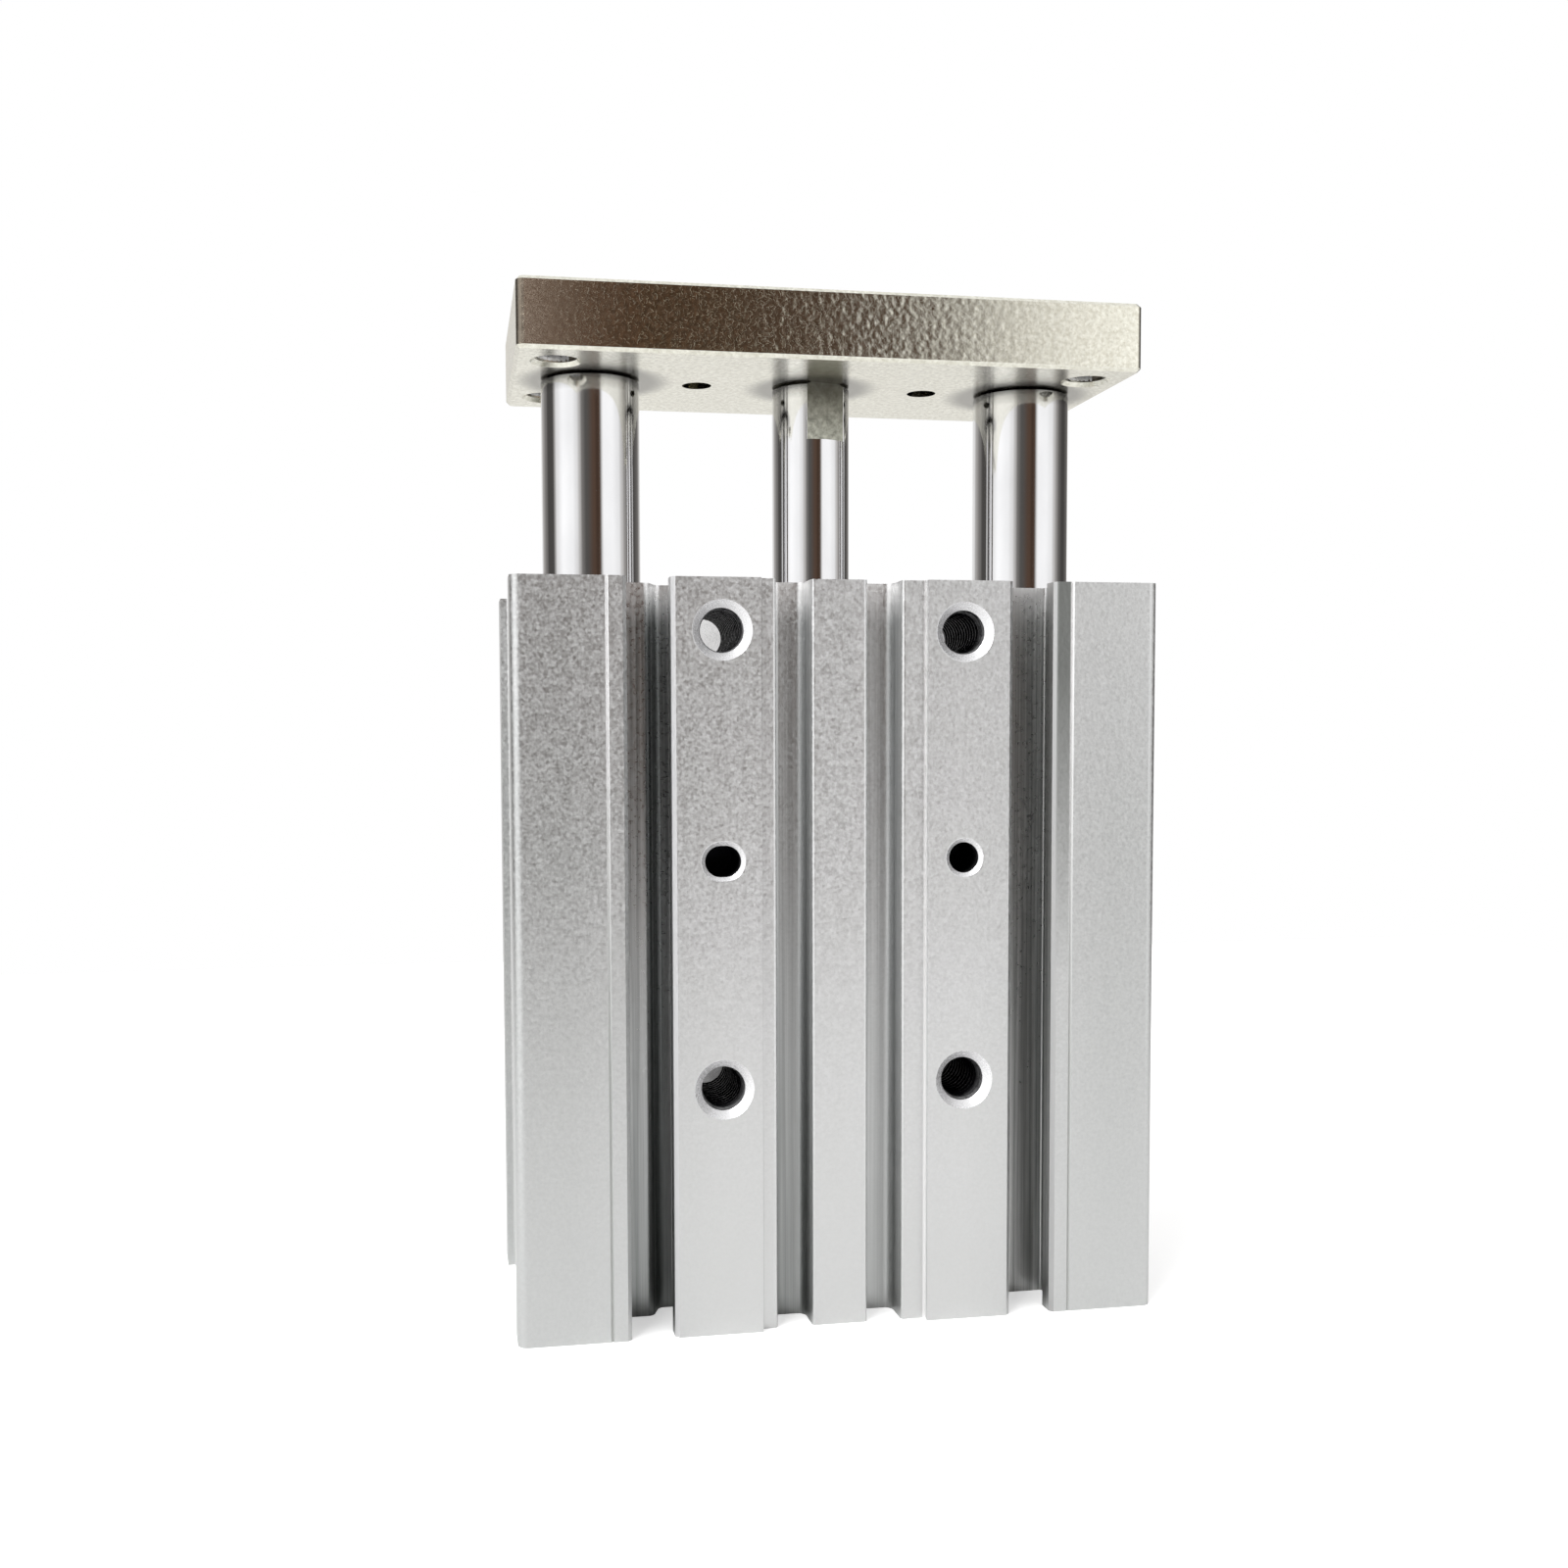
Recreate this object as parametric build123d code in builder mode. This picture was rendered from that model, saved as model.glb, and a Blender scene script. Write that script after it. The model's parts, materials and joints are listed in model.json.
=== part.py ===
"""Compact guided pneumatic cylinder: an extruded body, a piston and two guide rods that carry an end plate.

The origin is the centre of the body's rear end face, on the piston axis. +Z runs along the rods to the end
plate, X runs across the width and -Y points out of the T-slotted mounting face. All sizes are millimetres.
The slide is drawn part way out, as rest_extension says.
"""

import os
from math import cos, radians, sin

from build123d import *

# Stroke and where the slide stands
stroke = 40.0
rest_extension = 16.1
retracted_gap = 5.0  # from the body to the end plate with the slide right in
end_gap = 0.1  # between each bumper and its cover at the end of the stroke

# Extruded body
body_width = 64.0
body_depth = 30.0
body_corner_radius = 1.0
bore_radius = 8.0
cover_seat_step = 0.6  # the cover seats are this much wider than the bore, in radius
mouth_chamfer = 0.3

# Guide rods and their slide bushes
guide_spacing = 46.0
guide_rod_radius = 5.0
guide_rod_inset = 3.0  # from the rear end face to the rod ends with the slide right in
guide_rod_end_chamfer = 0.8
bush_wall = 1.5
bush_length = 12.5
bush_inset = 0.5  # below the plate-side end face
bush_gap = 4.0  # between the two bushes of one rod
bush_chamfer = 0.3
running_clearance = 0.03

# Piston and piston rod
piston_rod_radius = 4.0
piston_body_length = 6.5
piston_boss_length = 2.0
piston_boss_radius = 6.0
piston_edge_chamfer = 0.3
piston_neck_radius = 2.5
neck_shoulder_chamfer = 0.4
rivet_height = 0.8
rivet_flare = 0.8
bumper_thickness = 1.0
bumper_rivet_clearance = 0.3
wrench_flat_width = 6.8
wrench_flat_length = 5.8
wrench_flat_turn = 13.6  # degrees, from the mounting face towards +X
rod_top_chamfer = 0.25

# Piston seal, magnet and the ring between piston and rod
seal_groove_width = 2.2
seal_groove_depth = 2.2
seal_land = 1.0  # from the piston's front edge to the seal groove
seal_lip_depth = 0.5
magnet_groove_width = 1.6
magnet_groove_depth = 1.8
magnet_land = 0.7  # from the piston's rear edge to the magnet groove
magnet_recess = 0.3
piston_gasket_width = 1.2
piston_gasket_depth = 0.8

# Covers, their gaskets and retaining rings
head_cover_length = 5.9
rod_cover_length = 10.2
gasket_width = 1.8
gasket_depth = 1.2
gasket_land = 1.4  # from the cover's bore-side face to the gasket groove
cover_chamfer = 0.3
head_cover_pocket_radius = 4.5
head_cover_pocket_depth = 1.5
rod_seal_width = 2.6
rod_seal_depth = 2.0
rod_seal_land = 4.6  # from the rod cover's bore-side face to the seal groove
rod_seal_lip_depth = 0.7
rod_cover_mouth_radius = 5.2
rod_cover_mouth_depth = 1.6
ring_thickness = 1.0
ring_clearance = 0.1
ring_inset = 1.0  # from each end face to its retaining ring groove
ring_groove_depth = 0.6
ring_width = 1.3
ring_gap_half_angle = 16.0
ring_lug_radius = 1.5
ring_eye_radius = 0.6
ring_lug_lead = 10.0  # degrees, from the ring's gap to its lugs

# End plate
plate_width = 62.0
plate_depth = 26.0
plate_thickness = 6.7
plate_corner_radius = 0.8
plate_edge_chamfer = 0.35
plate_thread_pitch_x = 54.0
plate_thread_pitch_y = 16.0
plate_dowel_radius = 1.5

# Countersunk socket screws that hold the rods to the plate
screw_radius = 2.5
screw_plate_clearance = 0.1
screw_head_radius = 4.9
screw_head_recess = 0.15
screw_reach = 12.0  # length of the shank inside the rod
screw_hole_extra_depth = 2.0
screw_socket_flats = 3.0
screw_socket_depth = 1.9

# T-slots of the mounting face
slot_spacing = 38.0
slot_opening = 4.2
slot_edge_chamfer = 0.4
slot_lip = 2.1
slot_cavity_width = 7.4
slot_depth = 6.4
slot_pocket_depth = 8.6
slot_pocket_width = 2.1
slot_floor_slope_width = 0.8
slot_floor_radius = 0.8
slot_corner_radius = 0.3
slot_line_offset = 4.0  # from the slot's centre to the fine line beside it
slot_line_width = 0.35
slot_line_depth = 0.18

# Middle of the mounting face: a shallow recess with two open grooves
recess_width = 16.5
recess_depth = 0.85
groove_width = 3.45
groove_spacing = 9.0
groove_offset = -0.4  # the pair sits this far off the centre plane
groove_depth = 4.4  # from the mounting face
groove_floor_radius = 0.9
groove_edge_radius = 0.35

# Shallow recess along each side face
side_recess_depth = 1.0
side_front_lip = 3.8
side_back_lip = 5.2
side_recess_radius = 0.4

# Sensor grooves of the port face
sensor_spacing = 10.8
sensor_mouth = 2.6
sensor_channel_radius = 1.9
sensor_depth = 3.9

# Mounting holes through the body
column_spacing = 24.0
row_spacing = 44.0
first_row = 5.0  # from the plate-side end face
through_hole_radius = 2.15
through_hole_chamfer = 0.75
counterbore_radius = 4.0
counterbore_depth = 4.5

# Dowel holes of the mounting face
dowel_row = 27.0  # from the plate-side end face
dowel_radius = 1.5
dowel_depth = 6.0
dowel_chamfer = 0.4
oblong_length = 3.5

# Air ports and rear threads
thread_radius = 2.1  # tapping size of the M5 threads
thread_chamfer = 0.4
port_depth = 5.5
port_from_cover = 2.0
passage_radius = 1.0
side_port_inset = 5.3  # from the port face
side_spot_face_radius = 3.1  # flat seat round each side port
side_passage_radius = 0.8
rear_thread_pitch_x = 54.0
rear_thread_pitch_y = 21.0
rear_thread_depth = 7.0
plug_length = 4.0
plug_recess = 0.4
plug_socket_flats = 2.5
plug_socket_depth = 1.8

# Shared by every chamfered hole and by the selections below
cone_angle = 90.0
tiny = 0.01

# Places along Z, from the rear end face upwards
piston_length = piston_body_length + 2 * (piston_boss_length + bumper_thickness)
ring_space = ring_thickness + ring_clearance
head_cover_bottom = ring_inset + ring_space
head_cover_top = head_cover_bottom + head_cover_length
rod_cover_bottom = head_cover_top + piston_length + stroke + 2 * end_gap
rod_cover_top = rod_cover_bottom + rod_cover_length
body_length = rod_cover_top + ring_space + ring_inset
plate_bottom = body_length + retracted_gap + rest_extension
plate_top = plate_bottom + plate_thickness
piston_rear = head_cover_top + end_gap + rest_extension
boss_rear = piston_rear + bumper_thickness
piston_body_rear = boss_rear + piston_boss_length
piston_body_front = piston_body_rear + piston_body_length
boss_front = piston_body_front + piston_boss_length
front_bush_top = body_length - bush_inset
front_bush_bottom = front_bush_top - bush_length
rear_bush_bottom = front_bush_bottom - bush_gap - bush_length
guide_rod_bottom = guide_rod_inset + rest_extension
top_row = body_length - first_row
row_centre = top_row - row_spacing / 2
dowel_height = body_length - dowel_row
port_heights = (head_cover_top + port_from_cover, rod_cover_bottom - port_from_cover)

# Radii that follow from the driving sizes
cover_radius = bore_radius + cover_seat_step
ring_groove_radius = cover_radius + ring_groove_depth
guide_bore_radius = guide_rod_radius + running_clearance + bush_wall
piston_radius = bore_radius - running_clearance
cover_bore_radius = piston_rod_radius + running_clearance
flare_radius = piston_neck_radius + rivet_flare
bumper_inner_radius = flare_radius + bumper_rivet_clearance

# Working planes: sketch x runs across the part and sketch y runs up +Z
mounting_plane = Plane(origin=(0, -body_depth / 2, 0), x_dir=(1, 0, 0), z_dir=(0, -1, 0))
port_plane = Plane(origin=(0, body_depth / 2, 0), x_dir=(-1, 0, 0), z_dir=(0, 1, 0))
side_floor = body_width / 2 - side_recess_depth
side_port_height = body_depth / 2 - side_port_inset
side_plane = Plane(origin=(side_floor, 0, 0), x_dir=(0, 1, 0), z_dir=(1, 0, 0))
sides = (("left", -1), ("right", 1))

os.makedirs("parts", exist_ok=True)


def t_slot_outline():
    """Corners and corner radii of the +X T-slot, from its outboard mouth edge round to the inboard one."""
    face = -body_depth / 2
    centre = slot_spacing / 2
    half_mouth = slot_opening / 2
    half_cavity = slot_cavity_width / 2
    pocket_edge = centre - half_cavity + slot_pocket_width
    corners = [
        (centre + half_mouth + slot_edge_chamfer, face),
        (centre + half_mouth, face + slot_edge_chamfer),
        (centre + half_mouth, face + slot_lip),
        (centre + half_cavity, face + slot_lip),
        (centre + half_cavity, face + slot_depth),
        (pocket_edge + slot_floor_slope_width, face + slot_depth),
        (pocket_edge, face + slot_pocket_depth),
        (centre - half_cavity, face + slot_pocket_depth),
        (centre - half_cavity, face + slot_lip),
        (centre - half_mouth, face + slot_lip),
        (centre - half_mouth, face + slot_edge_chamfer),
        (centre - half_mouth - slot_edge_chamfer, face),
    ]
    rounds = [0, 0, 0, slot_corner_radius, slot_corner_radius, slot_floor_radius, slot_floor_radius]
    rounds += [slot_floor_radius, slot_corner_radius, 0, 0, 0]
    return corners, rounds


# Extruded body: the outline with its corner rounds, T-slots, grooves and recesses
with BuildPart() as cylinder_body:
    with BuildSketch() as body_profile:
        Rectangle(body_width, body_depth)
        fillet(body_profile.vertices(), radius=body_corner_radius)
        # T-slots and the fine line beside each, mirrored about the centre plane
        slot_corners, slot_rounds = t_slot_outline()
        with BuildSketch(mode=Mode.PRIVATE) as slots:
            with BuildLine():
                FilletPolyline(*slot_corners, radius=slot_rounds, close=True)
            make_face()
            with BuildLine():
                line_x = slot_spacing / 2 + slot_line_offset
                Polyline(
                    (line_x - slot_line_width / 2, -body_depth / 2),
                    (line_x, -body_depth / 2 + slot_line_depth),
                    (line_x + slot_line_width / 2, -body_depth / 2),
                    close=True,
                )
            make_face()
            mirror(about=Plane.YZ)
        add(slots.sketch, mode=Mode.SUBTRACT)
        # Shallow recess between the two hole columns
        with Locations((0, -body_depth / 2)):
            Rectangle(recess_width, 2 * recess_depth, mode=Mode.SUBTRACT)
        # Two open grooves in the floor of that recess
        groove_drop = groove_depth - recess_depth
        with Locations((groove_offset, -body_depth / 2 + recess_depth + groove_drop / 2)):
            with GridLocations(groove_spacing, 1, 2, 1):
                Rectangle(groove_width, groove_drop, mode=Mode.SUBTRACT)
        floor_y = -body_depth / 2 + groove_depth
        floor_corners = body_profile.vertices().filter_by(lambda corner: abs(corner.Y - floor_y) < tiny)
        fillet(floor_corners, radius=groove_floor_radius)
        edge_y = -body_depth / 2 + recess_depth
        groove_edges = body_profile.vertices().filter_by(
            lambda corner: abs(corner.Y - edge_y) < tiny and abs(corner.X) < recess_width / 2 - tiny
        )
        fillet(groove_edges, radius=groove_edge_radius)
        # Wide shallow recess along each side
        side_recess_height = body_depth - side_front_lip - side_back_lip
        side_recess_centre = (side_front_lip - side_back_lip) / 2
        with Locations((0, side_recess_centre)):
            with GridLocations(body_width, 1, 2, 1):
                RectangleRounded(
                    2 * side_recess_depth, side_recess_height, side_recess_radius, mode=Mode.SUBTRACT
                )
        # Round-bottomed sensor grooves with a narrow mouth on the port face
        channel_centre = body_depth / 2 - sensor_depth + sensor_channel_radius
        with Locations((0, channel_centre)):
            with GridLocations(sensor_spacing, 1, 2, 1):
                Circle(sensor_channel_radius, mode=Mode.SUBTRACT)
        with Locations((0, body_depth / 2)):
            with GridLocations(sensor_spacing, 1, 2, 1):
                Rectangle(sensor_mouth, 2 * (sensor_depth - sensor_channel_radius), mode=Mode.SUBTRACT)
    extrude(amount=body_length)

    # Piston bore, and the wider seats for the two covers
    with BuildSketch():
        Circle(bore_radius)
    extrude(amount=body_length, mode=Mode.SUBTRACT)
    with BuildSketch():
        Circle(cover_radius)
    extrude(amount=head_cover_top, mode=Mode.SUBTRACT)
    with BuildSketch(Plane.XY.offset(rod_cover_bottom)):
        Circle(cover_radius)
    extrude(amount=body_length - rod_cover_bottom, mode=Mode.SUBTRACT)
    # Retaining ring grooves
    with BuildSketch(Plane.XY.offset(ring_inset)):
        Circle(ring_groove_radius)
    extrude(amount=ring_space, mode=Mode.SUBTRACT)
    with BuildSketch(Plane.XY.offset(rod_cover_top)):
        Circle(ring_groove_radius)
    extrude(amount=ring_space, mode=Mode.SUBTRACT)
    # Guide bores
    with BuildSketch():
        with GridLocations(guide_spacing, 1, 2, 1):
            Circle(guide_bore_radius)
    extrude(amount=body_length, mode=Mode.SUBTRACT)
    # Chamfered mouths of the three bores at both ends
    for end in (cylinder_body.faces().sort_by(Axis.Z)[0], cylinder_body.faces().sort_by(Axis.Z)[-1]):
        mouths = end.edges().filter_by(GeomType.CIRCLE)
        chamfer(mouths.filter_by(lambda edge: edge.radius > guide_bore_radius - tiny), mouth_chamfer)

    # Threaded holes in the mounting face, run through to a counterbore in the port face
    with Locations(port_plane):
        with Locations((0, row_centre)):
            with GridLocations(column_spacing, row_spacing, 2, 2):
                CounterBoreHole(through_hole_radius, counterbore_radius, counterbore_depth, body_depth)
    with Locations(mounting_plane):
        with Locations((0, row_centre)):
            with GridLocations(column_spacing, row_spacing, 2, 2):
                CounterSinkHole(
                    through_hole_radius,
                    through_hole_radius + through_hole_chamfer,
                    counterbore_radius,
                    counter_sink_angle=cone_angle,
                )
        # Round dowel hole on the right
        with Locations((column_spacing / 2, dowel_height)):
            CounterSinkHole(
                dowel_radius, dowel_radius + dowel_chamfer, dowel_depth, counter_sink_angle=cone_angle
            )
    # Oblong dowel hole on the left, with its chamfered mouth
    with BuildSketch(mounting_plane):
        with Locations((-column_spacing / 2, dowel_height)):
            SlotOverall(oblong_length, 2 * dowel_radius)
    extrude(amount=-dowel_depth, mode=Mode.SUBTRACT)
    with BuildSketch(mounting_plane):
        with Locations((-column_spacing / 2, dowel_height)):
            SlotOverall(oblong_length + 2 * dowel_chamfer, 2 * (dowel_radius + dowel_chamfer))
    extrude(amount=-dowel_chamfer, taper=45, mode=Mode.SUBTRACT)

    # Air ports in the port face, each with a passage down to the bore
    with Locations(port_plane):
        with Locations(*[(0, height) for height in port_heights]):
            CounterSinkHole(
                thread_radius, thread_radius + thread_chamfer, port_depth, counter_sink_angle=cone_angle
            )
            Hole(passage_radius, body_depth / 2)
    # Second pair of ports in the +X side, each with a passage across to the first
    with Locations(side_plane):
        with Locations(*[(side_port_height, height) for height in port_heights]):
            CounterSinkHole(
                thread_radius, thread_radius + thread_chamfer, port_depth, counter_sink_angle=cone_angle
            )
            Hole(side_passage_radius, side_floor)
    # Spot faces where those two ports break into the back lip
    with BuildSketch(side_plane):
        with Locations(*[(side_port_height, height) for height in port_heights]):
            Circle(side_spot_face_radius)
    extrude(amount=side_recess_depth, mode=Mode.SUBTRACT)
    # Threaded holes in the rear end face
    with Locations(Plane.XY.rotated((180, 0, 0))):
        with GridLocations(rear_thread_pitch_x, rear_thread_pitch_y, 2, 2):
            CounterSinkHole(
                thread_radius, thread_radius + thread_chamfer, rear_thread_depth, counter_sink_angle=cone_angle
            )
cylinder_body.part.label = "cylinder_body"
export_step(cylinder_body.part, "parts/cylinder_body.step")

# Slide bushes: two for each guide rod, pressed into the guide bores
for side, sign in sides:
    for place, bottom in (("front", front_bush_bottom), ("rear", rear_bush_bottom)):
        with BuildPart() as bush:
            with BuildSketch(Plane.XY.offset(bottom)):
                with Locations((sign * guide_spacing / 2, 0)):
                    Circle(guide_bore_radius)
                    Circle(guide_rod_radius + running_clearance, mode=Mode.SUBTRACT)
            extrude(amount=bush_length)
            chamfer(bush.edges().filter_by(GeomType.CIRCLE), bush_chamfer)
        bush.part.label = f"{side}_{place}_bush"
        export_step(bush.part, f"parts/{side}_{place}_bush.step")

# Rod cover: carries the rod and its seal, held in the body by a retaining ring
with BuildPart() as rod_cover:
    seal_bottom = rod_cover_bottom + rod_seal_land
    seal_top = seal_bottom + rod_seal_width
    seal_groove_radius = cover_bore_radius + rod_seal_depth
    gasket_bottom = rod_cover_bottom + gasket_land
    gasket_top = gasket_bottom + gasket_width
    gasket_floor = cover_radius - gasket_depth
    with BuildSketch(Plane.XZ):
        with BuildLine():
            Polyline(
                (cover_bore_radius, rod_cover_bottom),
                (cover_radius - cover_chamfer, rod_cover_bottom),
                (cover_radius, rod_cover_bottom + cover_chamfer),
                (cover_radius, gasket_bottom),
                (gasket_floor, gasket_bottom),
                (gasket_floor, gasket_top),
                (cover_radius, gasket_top),
                (cover_radius, rod_cover_top - cover_chamfer),
                (cover_radius - cover_chamfer, rod_cover_top),
                (rod_cover_mouth_radius, rod_cover_top),
                (cover_bore_radius, rod_cover_top - rod_cover_mouth_depth),
                (cover_bore_radius, seal_top),
                (seal_groove_radius, seal_top),
                (seal_groove_radius, seal_bottom),
                (cover_bore_radius, seal_bottom),
                close=True,
            )
        make_face()
    revolve(axis=Axis.Z)
rod_cover.part.label = "rod_cover"
export_step(rod_cover.part, "parts/rod_cover.step")

# Rod seal: a U-shaped ring in the rod cover, open towards the bore
with BuildPart() as rod_seal:
    lip_root = seal_bottom + rod_seal_lip_depth
    seal_middle = cover_bore_radius + rod_seal_depth / 2
    with BuildSketch(Plane.XZ):
        with BuildLine():
            Polyline(
                (cover_bore_radius, seal_bottom),
                (cover_bore_radius + rod_seal_depth / 4, seal_bottom),
                (seal_middle, lip_root),
                (seal_groove_radius - rod_seal_depth / 4, seal_bottom),
                (seal_groove_radius, seal_bottom),
                (seal_groove_radius, seal_top),
                (cover_bore_radius, seal_top),
                close=True,
            )
        make_face()
    revolve(axis=Axis.Z)
rod_seal.part.label = "rod_seal"
export_step(rod_seal.part, "parts/rod_seal.step")

# Head cover: a plain disc that closes the rear of the bore, with a pocket to lighten its outer face
with BuildPart() as head_cover:
    head_gasket_top = head_cover_top - gasket_land
    head_gasket_bottom = head_gasket_top - gasket_width
    with BuildSketch(Plane.XZ):
        with BuildLine():
            Polyline(
                (0, head_cover_bottom + head_cover_pocket_depth),
                (head_cover_pocket_radius, head_cover_bottom + head_cover_pocket_depth),
                (head_cover_pocket_radius, head_cover_bottom),
                (cover_radius - cover_chamfer, head_cover_bottom),
                (cover_radius, head_cover_bottom + cover_chamfer),
                (cover_radius, head_gasket_bottom),
                (gasket_floor, head_gasket_bottom),
                (gasket_floor, head_gasket_top),
                (cover_radius, head_gasket_top),
                (cover_radius, head_cover_top - cover_chamfer),
                (cover_radius - cover_chamfer, head_cover_top),
                (0, head_cover_top),
                close=True,
            )
        make_face()
    revolve(axis=Axis.Z)
head_cover.part.label = "head_cover"
export_step(head_cover.part, "parts/head_cover.step")

# Gaskets: rings in the outer grooves of the two covers
for cover, bottom in (("rod_cover", gasket_bottom), ("head_cover", head_gasket_bottom)):
    with BuildPart() as gasket:
        with BuildSketch(Plane.XY.offset(bottom)):
            Circle(cover_radius)
            Circle(gasket_floor, mode=Mode.SUBTRACT)
        extrude(amount=gasket_width)
    gasket.part.label = f"{cover}_gasket"
    export_step(gasket.part, f"parts/{cover}_gasket.step")

# Retaining rings: open rings with two eyed lugs, sprung into the body's grooves
for cover, bottom in (("rod_cover", rod_cover_top), ("head_cover", ring_inset + ring_clearance)):
    with BuildPart() as retaining_ring:
        with BuildSketch(Plane.XY.offset(bottom)) as ring_outline:
            Circle(ring_groove_radius)
            Circle(ring_groove_radius - ring_width, mode=Mode.SUBTRACT)
            gap_reach = 2 * ring_groove_radius
            gap_angle = radians(ring_gap_half_angle)
            with BuildLine():
                Polyline(
                    (0, 0),
                    (-gap_reach * sin(gap_angle), -gap_reach * cos(gap_angle)),
                    (gap_reach * sin(gap_angle), -gap_reach * cos(gap_angle)),
                    close=True,
                )
            make_face(mode=Mode.SUBTRACT)
            lug_distance = ring_groove_radius - ring_groove_depth - ring_lug_radius
            lug_angle = ring_gap_half_angle + ring_lug_lead
            lug_spots = [
                (sign * lug_distance * sin(radians(lug_angle)), -lug_distance * cos(radians(lug_angle)))
                for sign in (-1, 1)
            ]
            with Locations(*lug_spots):
                Circle(ring_lug_radius)
            with Locations(*lug_spots):
                Circle(ring_eye_radius, mode=Mode.SUBTRACT)
        extrude(amount=ring_thickness)
    retaining_ring.part.label = f"{cover}_retaining_ring"
    export_step(retaining_ring.part, f"parts/{cover}_retaining_ring.step")

# Socket plugs that close the two ports in the side face
with BuildPart() as side_port_plugs:
    plug_face = side_plane.offset(-plug_recess)
    plug_spots = [(side_port_height, height) for height in port_heights]
    with BuildSketch(plug_face):
        with Locations(*plug_spots):
            Circle(thread_radius)
    extrude(amount=-plug_length)
    with BuildSketch(plug_face):
        with Locations(*plug_spots):
            RegularPolygon(plug_socket_flats / 2, 6, major_radius=False)
    extrude(amount=-plug_socket_depth, mode=Mode.SUBTRACT)
side_port_plugs.part.label = "side_port_plugs"
export_step(side_port_plugs.part, "parts/side_port_plugs.step")

# Guide rods: ground rods with a threaded top end for the plate screws
for side, sign in sides:
    guide_x = sign * guide_spacing / 2
    with BuildPart() as guide_rod:
        with BuildSketch(Plane.XY.offset(guide_rod_bottom)):
            with Locations((guide_x, 0)):
                Circle(guide_rod_radius)
        extrude(amount=plate_bottom - guide_rod_bottom)
        ends = guide_rod.edges().filter_by(GeomType.CIRCLE).sort_by(Axis.Z)
        chamfer(ends[0], guide_rod_end_chamfer)
        chamfer(ends[-1], rod_top_chamfer)
        with Locations(Plane(origin=(guide_x, 0, plate_bottom))):
            Hole(screw_radius, screw_reach + screw_hole_extra_depth)
    guide_rod.part.label = f"{side}_guide_rod"
    export_step(guide_rod.part, f"parts/{side}_guide_rod.step")

# Piston rod: a neck riveted over the piston, and wrench flats below the end plate
with BuildPart() as piston_rod:
    neck_bottom = boss_rear - rivet_height
    with BuildSketch(Plane.XZ):
        with BuildLine():
            Polyline(
                (0, neck_bottom),
                (flare_radius, neck_bottom),
                (flare_radius, boss_rear),
                (piston_neck_radius, boss_rear),
                (piston_neck_radius, boss_front),
                (piston_rod_radius - neck_shoulder_chamfer, boss_front),
                (piston_rod_radius, boss_front + neck_shoulder_chamfer),
                (piston_rod_radius, plate_bottom - rod_top_chamfer),
                (piston_rod_radius - rod_top_chamfer, plate_bottom),
                (0, plate_bottom),
                close=True,
            )
        make_face()
    revolve(axis=Axis.Z)
    flat_step = piston_rod_radius - wrench_flat_width / 2
    with BuildSketch(Plane.XY.offset(plate_bottom).rotated((0, 0, wrench_flat_turn))):
        with GridLocations(1, wrench_flat_width + flat_step, 1, 2):
            Rectangle(2 * piston_rod_radius, flat_step)
    extrude(amount=-wrench_flat_length, mode=Mode.SUBTRACT)
    with Locations(Plane.XY.offset(plate_bottom)):
        Hole(screw_radius, screw_reach + screw_hole_extra_depth)
piston_rod.part.label = "piston_rod"
export_step(piston_rod.part, "parts/piston_rod.step")

# Piston: a boss at each end, a seal groove in front, a magnet groove behind and a ring groove inside
with BuildPart() as piston:
    seal_groove_top = piston_body_front - seal_land
    seal_groove_bottom = seal_groove_top - seal_groove_width
    seal_floor = piston_radius - seal_groove_depth
    magnet_bottom = piston_body_rear + magnet_land
    magnet_top = magnet_bottom + magnet_groove_width
    magnet_floor = piston_radius - magnet_groove_depth
    piston_gasket_bottom = (boss_rear + boss_front - piston_gasket_width) / 2
    piston_gasket_top = piston_gasket_bottom + piston_gasket_width
    piston_gasket_radius = piston_neck_radius + piston_gasket_depth
    with BuildSketch(Plane.XZ):
        with BuildLine():
            Polyline(
                (piston_neck_radius, boss_rear),
                (piston_boss_radius, boss_rear),
                (piston_boss_radius, piston_body_rear),
                (piston_radius - piston_edge_chamfer, piston_body_rear),
                (piston_radius, piston_body_rear + piston_edge_chamfer),
                (piston_radius, magnet_bottom),
                (magnet_floor, magnet_bottom),
                (magnet_floor, magnet_top),
                (piston_radius, magnet_top),
                (piston_radius, seal_groove_bottom),
                (seal_floor, seal_groove_bottom),
                (seal_floor, seal_groove_top),
                (piston_radius, seal_groove_top),
                (piston_radius, piston_body_front - piston_edge_chamfer),
                (piston_radius - piston_edge_chamfer, piston_body_front),
                (piston_boss_radius, piston_body_front),
                (piston_boss_radius, boss_front),
                (piston_neck_radius, boss_front),
                (piston_neck_radius, piston_gasket_top),
                (piston_gasket_radius, piston_gasket_top),
                (piston_gasket_radius, piston_gasket_bottom),
                (piston_neck_radius, piston_gasket_bottom),
                close=True,
            )
        make_face()
    revolve(axis=Axis.Z)
piston.part.label = "piston"
export_step(piston.part, "parts/piston.step")

# Piston seal: a ring with a lip cut in each end face
with BuildPart() as piston_seal:
    seal_centre_radius = (piston_radius + seal_floor) / 2
    with BuildSketch(Plane.XZ):
        with BuildLine():
            Polyline(
                (seal_floor, seal_groove_bottom),
                (seal_centre_radius, seal_groove_bottom + seal_lip_depth),
                (piston_radius, seal_groove_bottom),
                (piston_radius, seal_groove_top),
                (seal_centre_radius, seal_groove_top - seal_lip_depth),
                (seal_floor, seal_groove_top),
                close=True,
            )
        make_face()
    revolve(axis=Axis.Z)
piston_seal.part.label = "piston_seal"
export_step(piston_seal.part, "parts/piston_seal.step")

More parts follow.
